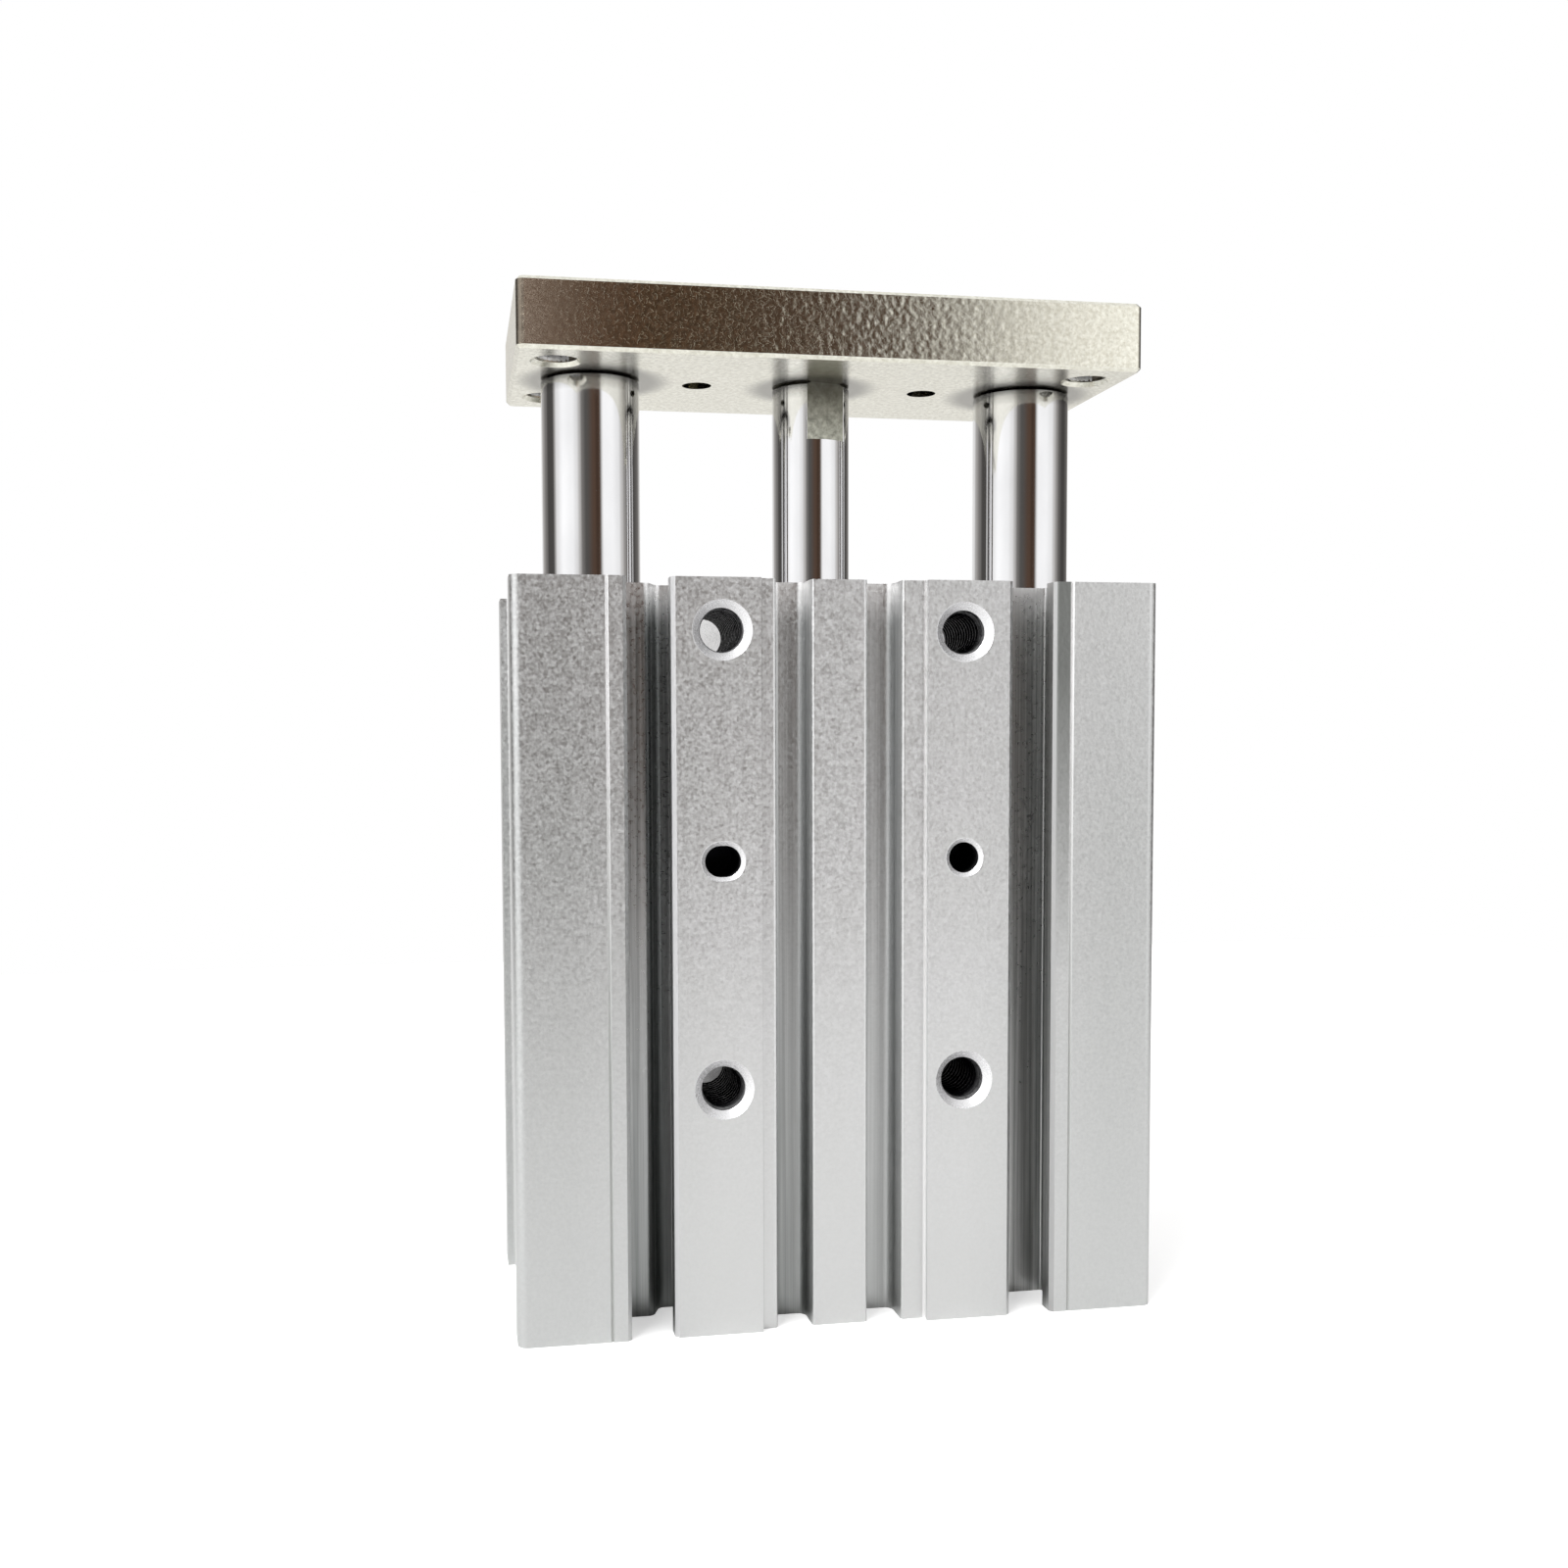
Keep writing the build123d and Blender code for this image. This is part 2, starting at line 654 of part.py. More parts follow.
# Piston magnet: the ring that the sensors in the body's grooves read
with BuildPart() as piston_magnet:
    with BuildSketch(Plane.XY.offset(magnet_bottom)):
        Circle(piston_radius - magnet_recess)
        Circle(magnet_floor, mode=Mode.SUBTRACT)
    extrude(amount=magnet_groove_width)
piston_magnet.part.label = "piston_magnet"
export_step(piston_magnet.part, "parts/piston_magnet.step")

# Ring that seals the piston on the neck of the rod
with BuildPart() as piston_gasket:
    with BuildSketch(Plane.XY.offset(piston_gasket_bottom)):
        Circle(piston_gasket_radius)
        Circle(piston_neck_radius, mode=Mode.SUBTRACT)
    extrude(amount=piston_gasket_width)
piston_gasket.part.label = "piston_gasket"
export_step(piston_gasket.part, "parts/piston_gasket.step")

# Bumpers: soft rings on the two end faces of the piston
bumpers = (
    ("head_side_bumper", piston_rear, bumper_inner_radius),
    ("rod_side_bumper", boss_front, piston_rod_radius),
)
for name, bottom, inner_radius in bumpers:
    with BuildPart() as bumper:
        with BuildSketch(Plane.XY.offset(bottom)):
            Circle(piston_boss_radius)
            Circle(inner_radius, mode=Mode.SUBTRACT)
        extrude(amount=bumper_thickness)
    bumper.part.label = name
    export_step(bumper.part, f"parts/{name}.step")

# End plate: three countersunk screw holes, four threaded holes and two dowel holes
with BuildPart() as end_plate:
    with BuildSketch(Plane.XY.offset(plate_bottom)):
        RectangleRounded(plate_width, plate_depth, plate_corner_radius)
    extrude(amount=plate_thickness)
    plate_ends = end_plate.faces().filter_by(Axis.Z)
    chamfer(plate_ends.edges(), plate_edge_chamfer)
    with Locations(Plane.XY.offset(plate_top)):
        with GridLocations(guide_spacing / 2, 1, 3, 1):
            CounterSinkHole(
                screw_radius + screw_plate_clearance,
                screw_head_radius + screw_head_recess,
                plate_thickness,
                counter_sink_angle=cone_angle,
            )
        with GridLocations(plate_thread_pitch_x, plate_thread_pitch_y, 2, 2):
            CounterSinkHole(
                thread_radius, thread_radius + thread_chamfer, plate_thickness, counter_sink_angle=cone_angle
            )
        with GridLocations(column_spacing, 1, 2, 1):
            Hole(plate_dowel_radius, plate_thickness)
    # The same small chamfer where the threads leave the underside
    underside = end_plate.faces().filter_by(Axis.Z).sort_by(Axis.Z)[0]
    thread_rims = underside.edges().filter_by(
        lambda edge: edge.geom_type == GeomType.CIRCLE and abs(edge.radius - thread_radius) < tiny
    )
    chamfer(thread_rims, thread_chamfer)
end_plate.part.label = "end_plate"
export_step(end_plate.part, "parts/end_plate.step")


# Countersunk screws: one into the piston rod, two into the guide rods
screw_head_top = plate_top - screw_head_recess
screw_cone_bottom = screw_head_top - (screw_head_radius - screw_radius)
screw_groups = (
    ("piston_rod_screw", [0]),
    ("guide_rod_screws", [sign * guide_spacing / 2 for side, sign in sides]),
)
for name, screw_places in screw_groups:
    with BuildPart() as screws:
        for x in screw_places:
            with BuildSketch(Plane.XZ):
                with BuildLine():
                    Polyline(
                        (x, plate_bottom - screw_reach),
                        (x + screw_radius, plate_bottom - screw_reach),
                        (x + screw_radius, screw_cone_bottom),
                        (x + screw_head_radius, screw_head_top),
                        (x, screw_head_top),
                        close=True,
                    )
                make_face()
            revolve(axis=Axis((x, 0, 0), (0, 0, 1)))
            with BuildSketch(Plane.XY.offset(screw_head_top)):
                with Locations((x, 0)):
                    RegularPolygon(screw_socket_flats / 2, 6, major_radius=False)
            extrude(amount=-screw_socket_depth, mode=Mode.SUBTRACT)
    screws.part.label = name
    export_step(screws.part, f"parts/{name}.step")
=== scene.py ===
"""Looks for the guided pneumatic cylinder: materials, threads in the holes, studio and camera.

The part's own frame has +Z along the rods and -Y out of the T-slotted face, in metres.
"""

import json
import math

import bmesh
import bpy
from mathutils import Matrix, Vector


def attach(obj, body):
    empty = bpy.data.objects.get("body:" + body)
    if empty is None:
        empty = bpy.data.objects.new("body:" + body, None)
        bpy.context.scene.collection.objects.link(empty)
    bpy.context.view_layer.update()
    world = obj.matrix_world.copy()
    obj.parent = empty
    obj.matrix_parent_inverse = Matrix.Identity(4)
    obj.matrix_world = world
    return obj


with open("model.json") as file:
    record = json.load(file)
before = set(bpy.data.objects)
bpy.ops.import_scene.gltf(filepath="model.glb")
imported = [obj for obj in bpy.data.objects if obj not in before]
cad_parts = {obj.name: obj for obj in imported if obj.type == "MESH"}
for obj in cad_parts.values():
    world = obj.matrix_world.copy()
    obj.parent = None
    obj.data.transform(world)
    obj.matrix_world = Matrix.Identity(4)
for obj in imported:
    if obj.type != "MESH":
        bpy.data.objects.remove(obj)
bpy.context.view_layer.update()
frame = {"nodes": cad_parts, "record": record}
nodes = frame["nodes"]
MM = 0.001

# Places and sizes on the part, in millimetres
SIDES = (-1, 1)
FRONT, BACK = -15, 15  # y of the T-slotted face and of the port face
COLUMN = 12  # x of the two columns of holes
HOLE_ROWS = (68, 24)  # z of the mounting holes
DOWEL_ROW = 46  # z of the dowel holes
DOWEL_HALF_SLOT = 0.25  # the left dowel hole is this much longer on either side
PORT_ROWS = (10, 58.7)  # z of the air ports
CHAMFER_END, THREAD_END = -14.2, -1.6  # y where a mounting hole's chamfer ends, and its thread
SLOT = 19  # x of the T-slots
GROOVE_MIDDLE, GROOVE = -0.4, 4.5  # x halfway between the two open grooves, and from there to each
SENSOR_GROOVE = 5.4  # x of the sensor grooves
THREAD_COLUMN = 27  # x of the threads near the corners
REAR_THREAD_Y, PLATE_THREAD_Y = 10.5, 8
PLATE_BOTTOM = 94.1  # z of the plate's underside
THROUGH_RADIUS, THREAD_RADIUS = 2.15, 2.1  # of the mounting holes, and of the other threaded holes
HOLE_BLUR = 0.04  # half the width of the soft edge of a finish that ends round a hole
ROD_SHADES = ((-22.7, 5), (0, 4), (22.7, 5))  # x and radius of each rod, for the painted shade rings under the plate

CAMERA_PLACE = (-37.866, -162.782, 56.808)  # millimetres


def add_node(tree, kind, **settings):
    made = tree.nodes.new(kind)
    for key, value in settings.items():
        setattr(made, key, value)
    return made


def feed(tree, socket, value):
    """Sets a socket to a number, or links another node's output to it."""
    if isinstance(value, (int, float)):
        socket.default_value = value
    else:
        tree.links.new(value, socket)


def add_math(tree, operation, *values):
    made = add_node(tree, "ShaderNodeMath", operation=operation)
    for socket, value in zip(made.inputs, values):
        feed(tree, socket, value)
    return made.outputs[0]


class Surface:
    """A Principled material with helpers for procedural grain, tint, roughness and bump."""

    def __init__(self, name, colour, metallic=0.0, roughness=0.5):
        self.material = bpy.data.materials.new(name)
        self.material.use_nodes = True
        self.tree = self.material.node_tree
        self.shader = self.tree.nodes["Principled BSDF"]
        self.shader.inputs["Base Color"].default_value = (*colour, 1)
        self.shader.inputs["Metallic"].default_value = metallic
        self.shader.inputs["Roughness"].default_value = roughness
        self.place = self.node("ShaderNodeTexCoord").outputs["Object"]
        self.facing = self.node("ShaderNodeTexCoord").outputs["Normal"]
        self.last_bump = None

    def node(self, kind, **settings):
        return add_node(self.tree, kind, **settings)

    def put(self, socket, value):
        feed(self.tree, socket, value)

    def math(self, operation, *values):
        return add_math(self.tree, operation, *values)

    def times(self, first, second):
        return self.math("MULTIPLY", first, second)

    def most(self, first, second):
        return self.math("MAXIMUM", first, second)

    def minus(self, first, second):
        return self.math("SUBTRACT", first, second)

    def distance(self, across, along):
        """Length of the flat vector (across, along)."""
        return self.math("SQRT", self.math("ADD", self.times(across, across), self.times(along, along)))

    def axes(self, vector=None):
        made = self.node("ShaderNodeSeparateXYZ")
        self.tree.links.new(self.place if vector is None else vector, made.inputs[0])
        return made.outputs

    def stretched(self, stretch):
        made = self.node("ShaderNodeMapping")
        made.inputs["Scale"].default_value = stretch
        self.tree.links.new(self.place, made.inputs["Vector"])
        return made.outputs[0]

    def noise(self, size, detail=2.0, rough=0.5, stretch=(1, 1, 1)):
        """Noise whose features are about size millimetres across."""
        made = self.node("ShaderNodeTexNoise")
        made.inputs["Scale"].default_value = 1 / (size * MM)
        made.inputs["Detail"].default_value = detail
        made.inputs["Roughness"].default_value = rough
        self.tree.links.new(self.stretched(stretch), made.inputs["Vector"])
        return made.outputs["Fac"]

    def cells(self, size, colour=False):
        """Cells about size millimetres across: distance from their middles, or a random value for each."""
        made = self.node("ShaderNodeTexVoronoi")
        made.inputs["Scale"].default_value = 1 / (size * MM)
        self.tree.links.new(self.place, made.inputs["Vector"])
        if colour:
            return self.axes(made.outputs["Color"])[0]
        return made.outputs["Distance"]

    def rings(self, size):
        """Turning marks: rings about the part's own upright axis, size millimetres apart."""
        x, y, _ = self.axes()
        wave = self.math("SINE", self.times(self.distance(x, y), 2 * math.pi / (size * MM)))
        return self.math("MULTIPLY_ADD", wave, 0.5, 0.5)

    def spread(self, value, low, high, start=0.0, end=1.0, smooth=False):
        made = self.node("ShaderNodeMapRange", clamp=True)
        if smooth:
            made.interpolation_type = "SMOOTHSTEP"
        self.put(made.inputs["Value"], value)
        for key, number in (("From Min", start), ("From Max", end), ("To Min", low), ("To Max", high)):
            self.put(made.inputs[key], number)
        return made.outputs["Result"]

    def span(self, value, low, high, soft=0.03):
        """1 where value lies between low and high millimetres, 0 elsewhere."""
        rise = self.spread(value, 0, 1, (low - soft) * MM, (low + soft) * MM)
        fall = self.spread(value, 1, 0, (high - soft) * MM, (high + soft) * MM)
        return self.times(rise, fall)

    def blend(self, amount, first, second):
        """Colour that goes from first to second as amount goes from 0 to 1."""
        made = self.node("ShaderNodeMix", data_type="RGBA")
        self.put(made.inputs["Factor"], amount)
        for socket, value in ((made.inputs["A"], first), (made.inputs["B"], second)):
            if isinstance(value, tuple):
                socket.default_value = (*value, 1)
            else:
                self.tree.links.new(value, socket)
        return made.outputs["Result"]

    def ramp(self, value, start, end, first, second):
        """Colour that goes from first to second as value goes from start to end."""
        return self.blend(self.spread(value, 0, 1, start, end), first, second)

    def colour(self, socket):
        self.tree.links.new(socket, self.shader.inputs["Base Color"])

    def roughness(self, socket):
        self.tree.links.new(socket, self.shader.inputs["Roughness"])

    def bump(self, height, depth):
        """Adds relief: height 0..1 stands for depth millimetres."""
        made = self.node("ShaderNodeBump")
        made.inputs["Distance"].default_value = depth * MM
        self.put(made.inputs["Height"], height)
        if self.last_bump is not None:
            self.tree.links.new(self.last_bump, made.inputs["Normal"])
        self.last_bump = made.outputs["Normal"]
        self.tree.links.new(self.last_bump, self.shader.inputs["Normal"])

    def near(self, spots, radius):
        """1 within radius millimetres of any of the spots, given as (x, z) in millimetres; 0 elsewhere."""
        x, _, z = self.axes()
        closest = None
        for spot_x, spot_z in spots:
            reach = self.distance(self.minus(x, spot_x * MM), self.minus(z, spot_z * MM))
            closest = reach if closest is None else self.math("MINIMUM", closest, reach)
        return self.spread(closest, 1.0, 0.0, (radius - HOLE_BLUR) * MM, (radius + HOLE_BLUR) * MM)


def anodised_body():
    """Clear anodised extrusion: blasted grain, die lines in the grooves, milled ends, bright turned holes,
    and painted shade and highlights on the face, slots, grooves and holes.
    """
    look = Surface("anodised_aluminium", (0.70, 0.71, 0.70), metallic=1.0, roughness=0.36)
    x, y, z = look.axes()
    turned, _, tilt = look.axes(look.facing)
    side = look.math("ABSOLUTE", x)
    ends = look.spread(look.math("ABSOLUTE", tilt), 0.0, 1.0, 0.85, 0.95)
    walls = look.minus(1.0, ends)
    hole_spots = [(s * COLUMN, h) for s in SIDES for h in HOLE_ROWS]
    oblong_dowel_spots = [(d - COLUMN, DOWEL_ROW) for d in (-DOWEL_HALF_SLOT, DOWEL_HALF_SLOT)]
    dowel_spots = oblong_dowel_spots + [(COLUMN, DOWEL_ROW)]
    mouth_radius, wall_radius = 2.92, 2.5
    small_mouth_radius, small_wall_radius = 1.93, 1.6
    # Where the colour differs: hole mouths, hole walls, slots and grooves, by their finish and by painted
    # shade
    mouth = look.times(look.near(hole_spots, mouth_radius), look.span(y, -15.2, -14.22))
    small_mouth = look.times(look.near(dowel_spots, small_mouth_radius), look.span(y, -15.2, -14.62))
    bright = look.most(mouth, small_mouth)
    inside = look.times(look.near(hole_spots, wall_radius), look.span(y, CHAMFER_END, THREAD_END))
    drilled = look.times(look.near(hole_spots, wall_radius), look.span(y, THREAD_END, 10.4))
    small_inside = look.times(look.near(dowel_spots, small_wall_radius), look.span(y, -14.6, -8.9))
    bore = look.most(inside, small_inside)
    slot_reach = look.math("ABSOLUTE", look.minus(side, SLOT * MM))
    slot = look.times(look.span(slot_reach, -1, 3.95), look.spread(y, 0, 1, -14.8 * MM, -13.4 * MM))
    slot = look.times(slot, look.span(y, -16, -6.3))
    groove_reach = look.math("ABSOLUTE", look.minus(x, GROOVE_MIDDLE * MM))
    groove_reach = look.math("ABSOLUTE", look.minus(groove_reach, GROOVE * MM))
    groove = look.times(look.span(groove_reach, -1, 1.78), look.spread(y, 0, 1, -14.0 * MM, -12.6 * MM))
    groove = look.times(groove, look.span(y, -16, -10.5))
    sensor_reach = look.math("ABSOLUTE", look.minus(side, SENSOR_GROOVE * MM))
    sensor = look.times(look.span(sensor_reach, -1, 2.0), look.spread(y, 1, 0, 12.5 * MM, 14.6 * MM))
    sensor = look.times(sensor, look.span(y, 10.9, 16))
    corner = look.times(look.span(side, 8.05, 8.27), look.span(y, -14.6, -13.9))
    deep = look.most(slot, look.times(groove, 0.42))
    deep = look.most(deep, look.times(sensor, 0.7))
    # Painted shade on the recess wall's corner on the left, and a painted highlight on the right
    lit_corner = look.times(corner, look.spread(x, 0, 1, 0, 4 * MM))
    deep = look.most(deep, look.times(look.minus(corner, lit_corner), 0.7))
    deep = look.times(deep, walls)
    # Colour
    specks = look.math("MULTIPLY_ADD", look.cells(0.30, colour=True), 0.30, -0.15)
    raw = look.math("ADD", look.noise(0.34, detail=1.5, rough=0.6), specks)
    # The blast is coarser towards the top and finer towards the foot
    coarseness = look.spread(z, 0.18, 0.64, 8 * MM, 46 * MM)
    grain = look.math("MULTIPLY_ADD", look.minus(raw, 0.5), coarseness, 0.5)
    relief = look.noise(0.42, detail=1.5, rough=0.55)
    cloud = look.noise(9.0, detail=3)
    die_lines = look.noise(0.45, detail=3, rough=0.6, stretch=(1, 1, 0.008))
    plain = look.ramp(grain, 0.3, 0.7, (0.72, 0.725, 0.725), (0.89, 0.895, 0.90))
    plain = look.blend(look.spread(cloud, 0, 0.25, 0.35, 0.75), plain, (0.77, 0.785, 0.76))
    # The face is painted a little darker at its foot and towards its sides, as shade
    plain = look.blend(look.spread(z, 0.45, 0.0, 2 * MM, 32 * MM), plain, (0.64, 0.645, 0.635))
    margin = look.spread(side, 0.0, 1.0, 12 * MM, 27 * MM)
    margin = look.times(margin, look.spread(z, 1.0, 0.45, 48 * MM, 70 * MM))
    plain = look.blend(margin, plain, look.ramp(grain, 0.3, 0.7, (0.57, 0.58, 0.575), (0.73, 0.74, 0.735)))
    # Die lines, painted darker than the face as shade in the recesses
    lined_and_shaded = look.ramp(die_lines, 0.38, 0.64, (0.30, 0.31, 0.31), (0.66, 0.67, 0.67))
    # Slots and grooves: painted lighter in the right slot, painted shade towards the foot and on the walls
    # turned to -X, a painted highlight at the sawn upper end
    painted_shade_tone = look.ramp(die_lines, 0.3, 0.7, (0.12, 0.13, 0.125), (0.32, 0.33, 0.325))
    painted_lit_lined = look.ramp(die_lines, 0.36, 0.66, (0.38, 0.385, 0.38), (0.86, 0.86, 0.85))
    lined_and_shaded = look.ramp(x, 14 * MM, 16 * MM, lined_and_shaded, painted_lit_lined)
    foot_shade = look.times(look.spread(z, 0.85, 0.0, 4 * MM, 40 * MM), look.spread(x, 1.0, 0.0, 4 * MM, 14 * MM))
    lined_and_shaded = look.blend(foot_shade, lined_and_shaded, painted_shade_tone)
    turned_left = look.times(look.spread(turned, 0.6, 0.0, -0.8, -0.4), slot)
    lined_and_shaded = look.blend(turned_left, lined_and_shaded, painted_shade_tone)
    faced = look.blend(look.times(deep, 0.92), plain, lined_and_shaded)
    # Painted shade in the open grooves, stronger towards the foot and in the left groove
    left_groove = look.times(groove, look.spread(x, 1.0, 0.0, -2 * MM, 0))
    left_groove = look.times(left_groove, look.spread(z, 0.65, 0.10, 2 * MM, 68 * MM))
    faced = look.blend(left_groove, faced, painted_shade_tone)
    right_groove = look.times(groove, look.spread(x, 0.0, 1.0, 0, 2 * MM))
    right_groove = look.times(right_groove, look.spread(z, 0.16, 0.06, 6 * MM, 64 * MM))
    faced = look.blend(right_groove, faced, painted_shade_tone)
    # Painted highlight where light falls into the open upper end of the slots and grooves
    open_end = look.times(look.most(groove, slot), look.spread(z, 0.0, 1.0, 69.0 * MM, 72.6 * MM))
    faced = look.blend(open_end, faced, look.ramp(x, 6 * MM, 14 * MM, (0.99, 0.99, 0.99), (0.80, 0.80, 0.80)))
    faced = look.blend(lit_corner, faced, (0.97, 0.97, 0.97))
    # Painted light and shade on the slot edges turned to -X, and a painted highlight on the fine line beside
    # each slot
    lip = look.times(look.span(slot_reach, 2.02, 2.6), look.span(y, -15.1, -14.55))
    lip = look.times(lip, look.spread(turned, 1.0, 0.0, -0.75, -0.5))
    faced = look.blend(lip, faced, look.ramp(x, 0, 10 * MM, (0.80, 0.80, 0.81), (0.50, 0.50, 0.50)))
    fine_line = look.times(look.span(side, 22.8, 23.2), look.span(y, -14.97, -14.7))
    line_highlight = look.ramp(z, 25 * MM, 62 * MM, (0.66, 0.67, 0.66), (0.95, 0.95, 0.95))
    faced = look.blend(fine_line, faced, line_highlight)
    # Painted shade on the strip between the right slot and its fine line, darker towards the top
    strip = look.times(look.span(x, 21.0, 22.75), look.span(y, -15.1, -14.9))
    strip = look.times(strip, look.spread(z, 0.0, 0.95, 34 * MM, 64 * MM))
    faced = look.blend(strip, faced, (0.24, 0.25, 0.24))
    # Painted shade inside the threaded holes, darkening with depth
    hole_shade = look.ramp(y, CHAMFER_END * MM, -13.0 * MM, (0.24, 0.24, 0.25), (0.012, 0.012, 0.016))
    # Walls behind the thread: light in the upper row, painted dark as shade in the lower
    reamed_lower_shaded = look.ramp(z, 40 * MM, 50 * MM, (0.04, 0.04, 0.045), (0.84, 0.84, 0.85))
    machined = look.blend(drilled, look.blend(bore, faced, hole_shade), reamed_lower_shaded)
    # Hole chamfers: bright cut metal, with painted shade on the side turned to +X
    cut_side_shaded = look.ramp(turned, -0.5, 0.5, (0.92, 0.92, 0.93), (0.62, 0.62, 0.63))
    look.colour(look.blend(bright, machined, cut_side_shaded))
    # Roughness: each grain has its own
    matte = look.spread(grain, 0.32, 0.50, 0.3, 0.7)
    smooth = look.most(bright, drilled)
    keen = look.math("ADD", look.times(ends, 0.08), look.times(smooth, 0.14))
    keen = look.math("MULTIPLY_ADD", deep, 0.08, look.math("MULTIPLY_ADD", fine_line, -0.2, keen))
    look.roughness(look.minus(matte, keen))
    # Relief
    coarse = look.minus(1.0, look.most(look.most(smooth, bore), deep))
    look.bump(look.times(relief, look.times(coarse, coarseness)), 0.032)
    look.put(look.shader.inputs["Metallic"], look.math("MULTIPLY_ADD", bright, -0.6, 1.0))
    look.bump(look.times(die_lines, look.math("MULTIPLY_ADD", deep, 0.9, 0.1)), 0.018)
    saw = look.noise(0.18, detail=2, stretch=(0.05, 1, 1))
    look.bump(look.times(saw, ends), 0.02)
    return look.material


def plated_steel():
    """Nickel plated plate: blasted sides, a painted warm brown reflection at the front left, smooth top and
    underside.
    """
    look = Surface("plated_steel", (0.80, 0.77, 0.68), metallic=1.0, roughness=0.18)
    turned_x, turned_y, tilt = look.axes(look.facing)
    upright = look.spread(look.math("ABSOLUTE", tilt), 1.0, 0.0, 0.3, 0.6)
    x, y, _ = look.axes()
    pebble = look.noise(0.60, detail=0.5, rough=0.5)
    speck = look.math("MULTIPLY_ADD", look.cells(0.26, colour=True), 0.3, look.noise(0.45, detail=1))
    fine = look.noise(0.16, detail=1)
    cloud = look.noise(6.0, detail=4)
    tone = look.ramp(speck, 0.4, 0.95, (0.74, 0.72, 0.62), (0.97, 0.96, 0.86))
    # A painted warm brown reflection on the front, strongest at the left
    reflection_warmth = look.times(look.spread(cloud, 0.8, 1.0, 0.35, 0.65), look.spread(x, 1.0, 0.1, -14 * MM, 2 * MM))
    amber_reflection = look.ramp(speck, 0.45, 0.9, (0.66, 0.58, 0.40), (0.95, 0.88, 0.68))
    spots = look.spread(look.noise(0.5, detail=1), 0.0, 0.45, 0.45, 0.62)
    amber_reflection = look.blend(spots, amber_reflection, (0.58, 0.58, 0.46))
    amber_reflection = look.blend(look.spread(x, 0.85, 0.0, -30 * MM, -18 * MM), amber_reflection, (0.92, 0.76, 0.62))
    reflection_warmth = look.times(reflection_warmth, look.spread(turned_y, 1.0, 0.12, -0.95, -0.8))
    face = look.blend(look.times(reflection_warmth, upright), tone, amber_reflection)
    # The upright edge between the front and the -X end has painted shade
    edge_shade = look.spread(turned_x, 0.9, 0.0, -0.30, -0.10)
    edge_shade = look.times(edge_shade, look.spread(turned_y, 1.0, 0.0, -0.30, -0.10))
    face = look.blend(look.times(edge_shade, upright), face, (0.16, 0.13, 0.10))
    # Painted shade on the underside, darkening towards each rod
    under = look.spread(tilt, 0.93, 0.0, -0.95, -0.7)
    nearest = None
    for rod_x, radius in ROD_SHADES:
        across = look.minus(x, rod_x * MM)
        reach = look.minus(look.distance(across, y), radius * MM)
        nearest = reach if nearest is None else look.math("MINIMUM", nearest, reach)
    shaded = look.times(look.spread(nearest, 1.0, 0.0, 0.8 * MM, 3.6 * MM, smooth=True), under)
    look.colour(look.blend(shaded, face, (0.30, 0.29, 0.26)))
    satin = look.math("MULTIPLY_ADD", look.minus(1.0, upright), 0.12, look.spread(fine, 0.10, 0.15, 0.3, 0.7))
    look.roughness(look.math("MULTIPLY_ADD", look.spread(x, 0.165, 0.0, -31 * MM, -20 * MM), upright, satin))
    # The blasted texture fades towards +X
    grit = look.times(upright, look.spread(x, 1.0, 0.14, 2 * MM, 19 * MM))
    look.bump(look.times(pebble, look.math("MULTIPLY_ADD", grit, 0.98, 0.02)), 0.030)
    look.bump(look.times(speck, grit), 0.008)
    return look.material


def chromed_rod(name, milled_flat=False):
    """Hard chromed and ground rod: mirror bright with faint grinding rings, with painted shade just under the
    plate.
    """
    look = Surface(name, (0.80, 0.81, 0.82), metallic=1.0, roughness=0.06)
    x, y, z = look.axes()
    seat_foot = 93.85  # z where the painted shadow line round the rod begins, millimetres
    grind = look.noise(0.10, detail=3, stretch=(0.02, 0.02, 1))
    smear = look.noise(3.0, detail=4, stretch=(1, 1, 0.4))
    chrome = look.ramp(smear, 0.35, 0.75, (0.83, 0.83, 0.84), (0.76, 0.76, 0.77))
    # Painted shade darkening the rod towards the plate, and a painted shadow line where it meets the plate
    chrome = look.blend(look.spread(z, 0, 0.75, 92.4 * MM, seat_foot * MM), chrome, (0.22, 0.22, 0.21))
    seat_shadow = look.span(z, seat_foot, 94.4)
    shade = look.blend(seat_shadow, chrome, (0.06, 0.055, 0.05))
    gloss = look.spread(look.math("ADD", grind, smear), 0.04, 0.10, 0.7, 1.3)
    if milled_flat:
        # The wrench flat lies nearer the axis than the round of the rod
        reach = look.distance(x, y)
        flat = look.times(look.spread(reach, 1, 0, 3.96 * MM, 3.985 * MM), look.span(z, 88.1, 94.2))
        mottle = look.noise(0.6, detail=4, rough=0.65)
        worn = look.ramp(mottle, 0.35, 0.68, (0.28, 0.28, 0.24), (0.60, 0.60, 0.52))
        # The flat is painted darker towards the plate, as shade
        flat_shade = look.blend(look.spread(z, 0, 0.85, 88.6 * MM, 93.0 * MM), worn, (0.08, 0.075, 0.06))
        shade = look.blend(flat, shade, flat_shade)
        gloss = look.math("MULTIPLY_ADD", flat, 0.34, gloss)
        look.bump(look.times(mottle, flat), 0.02)
    look.colour(shade)
    look.roughness(gloss)
    look.bump(grind, 0.0006)
    return look.material


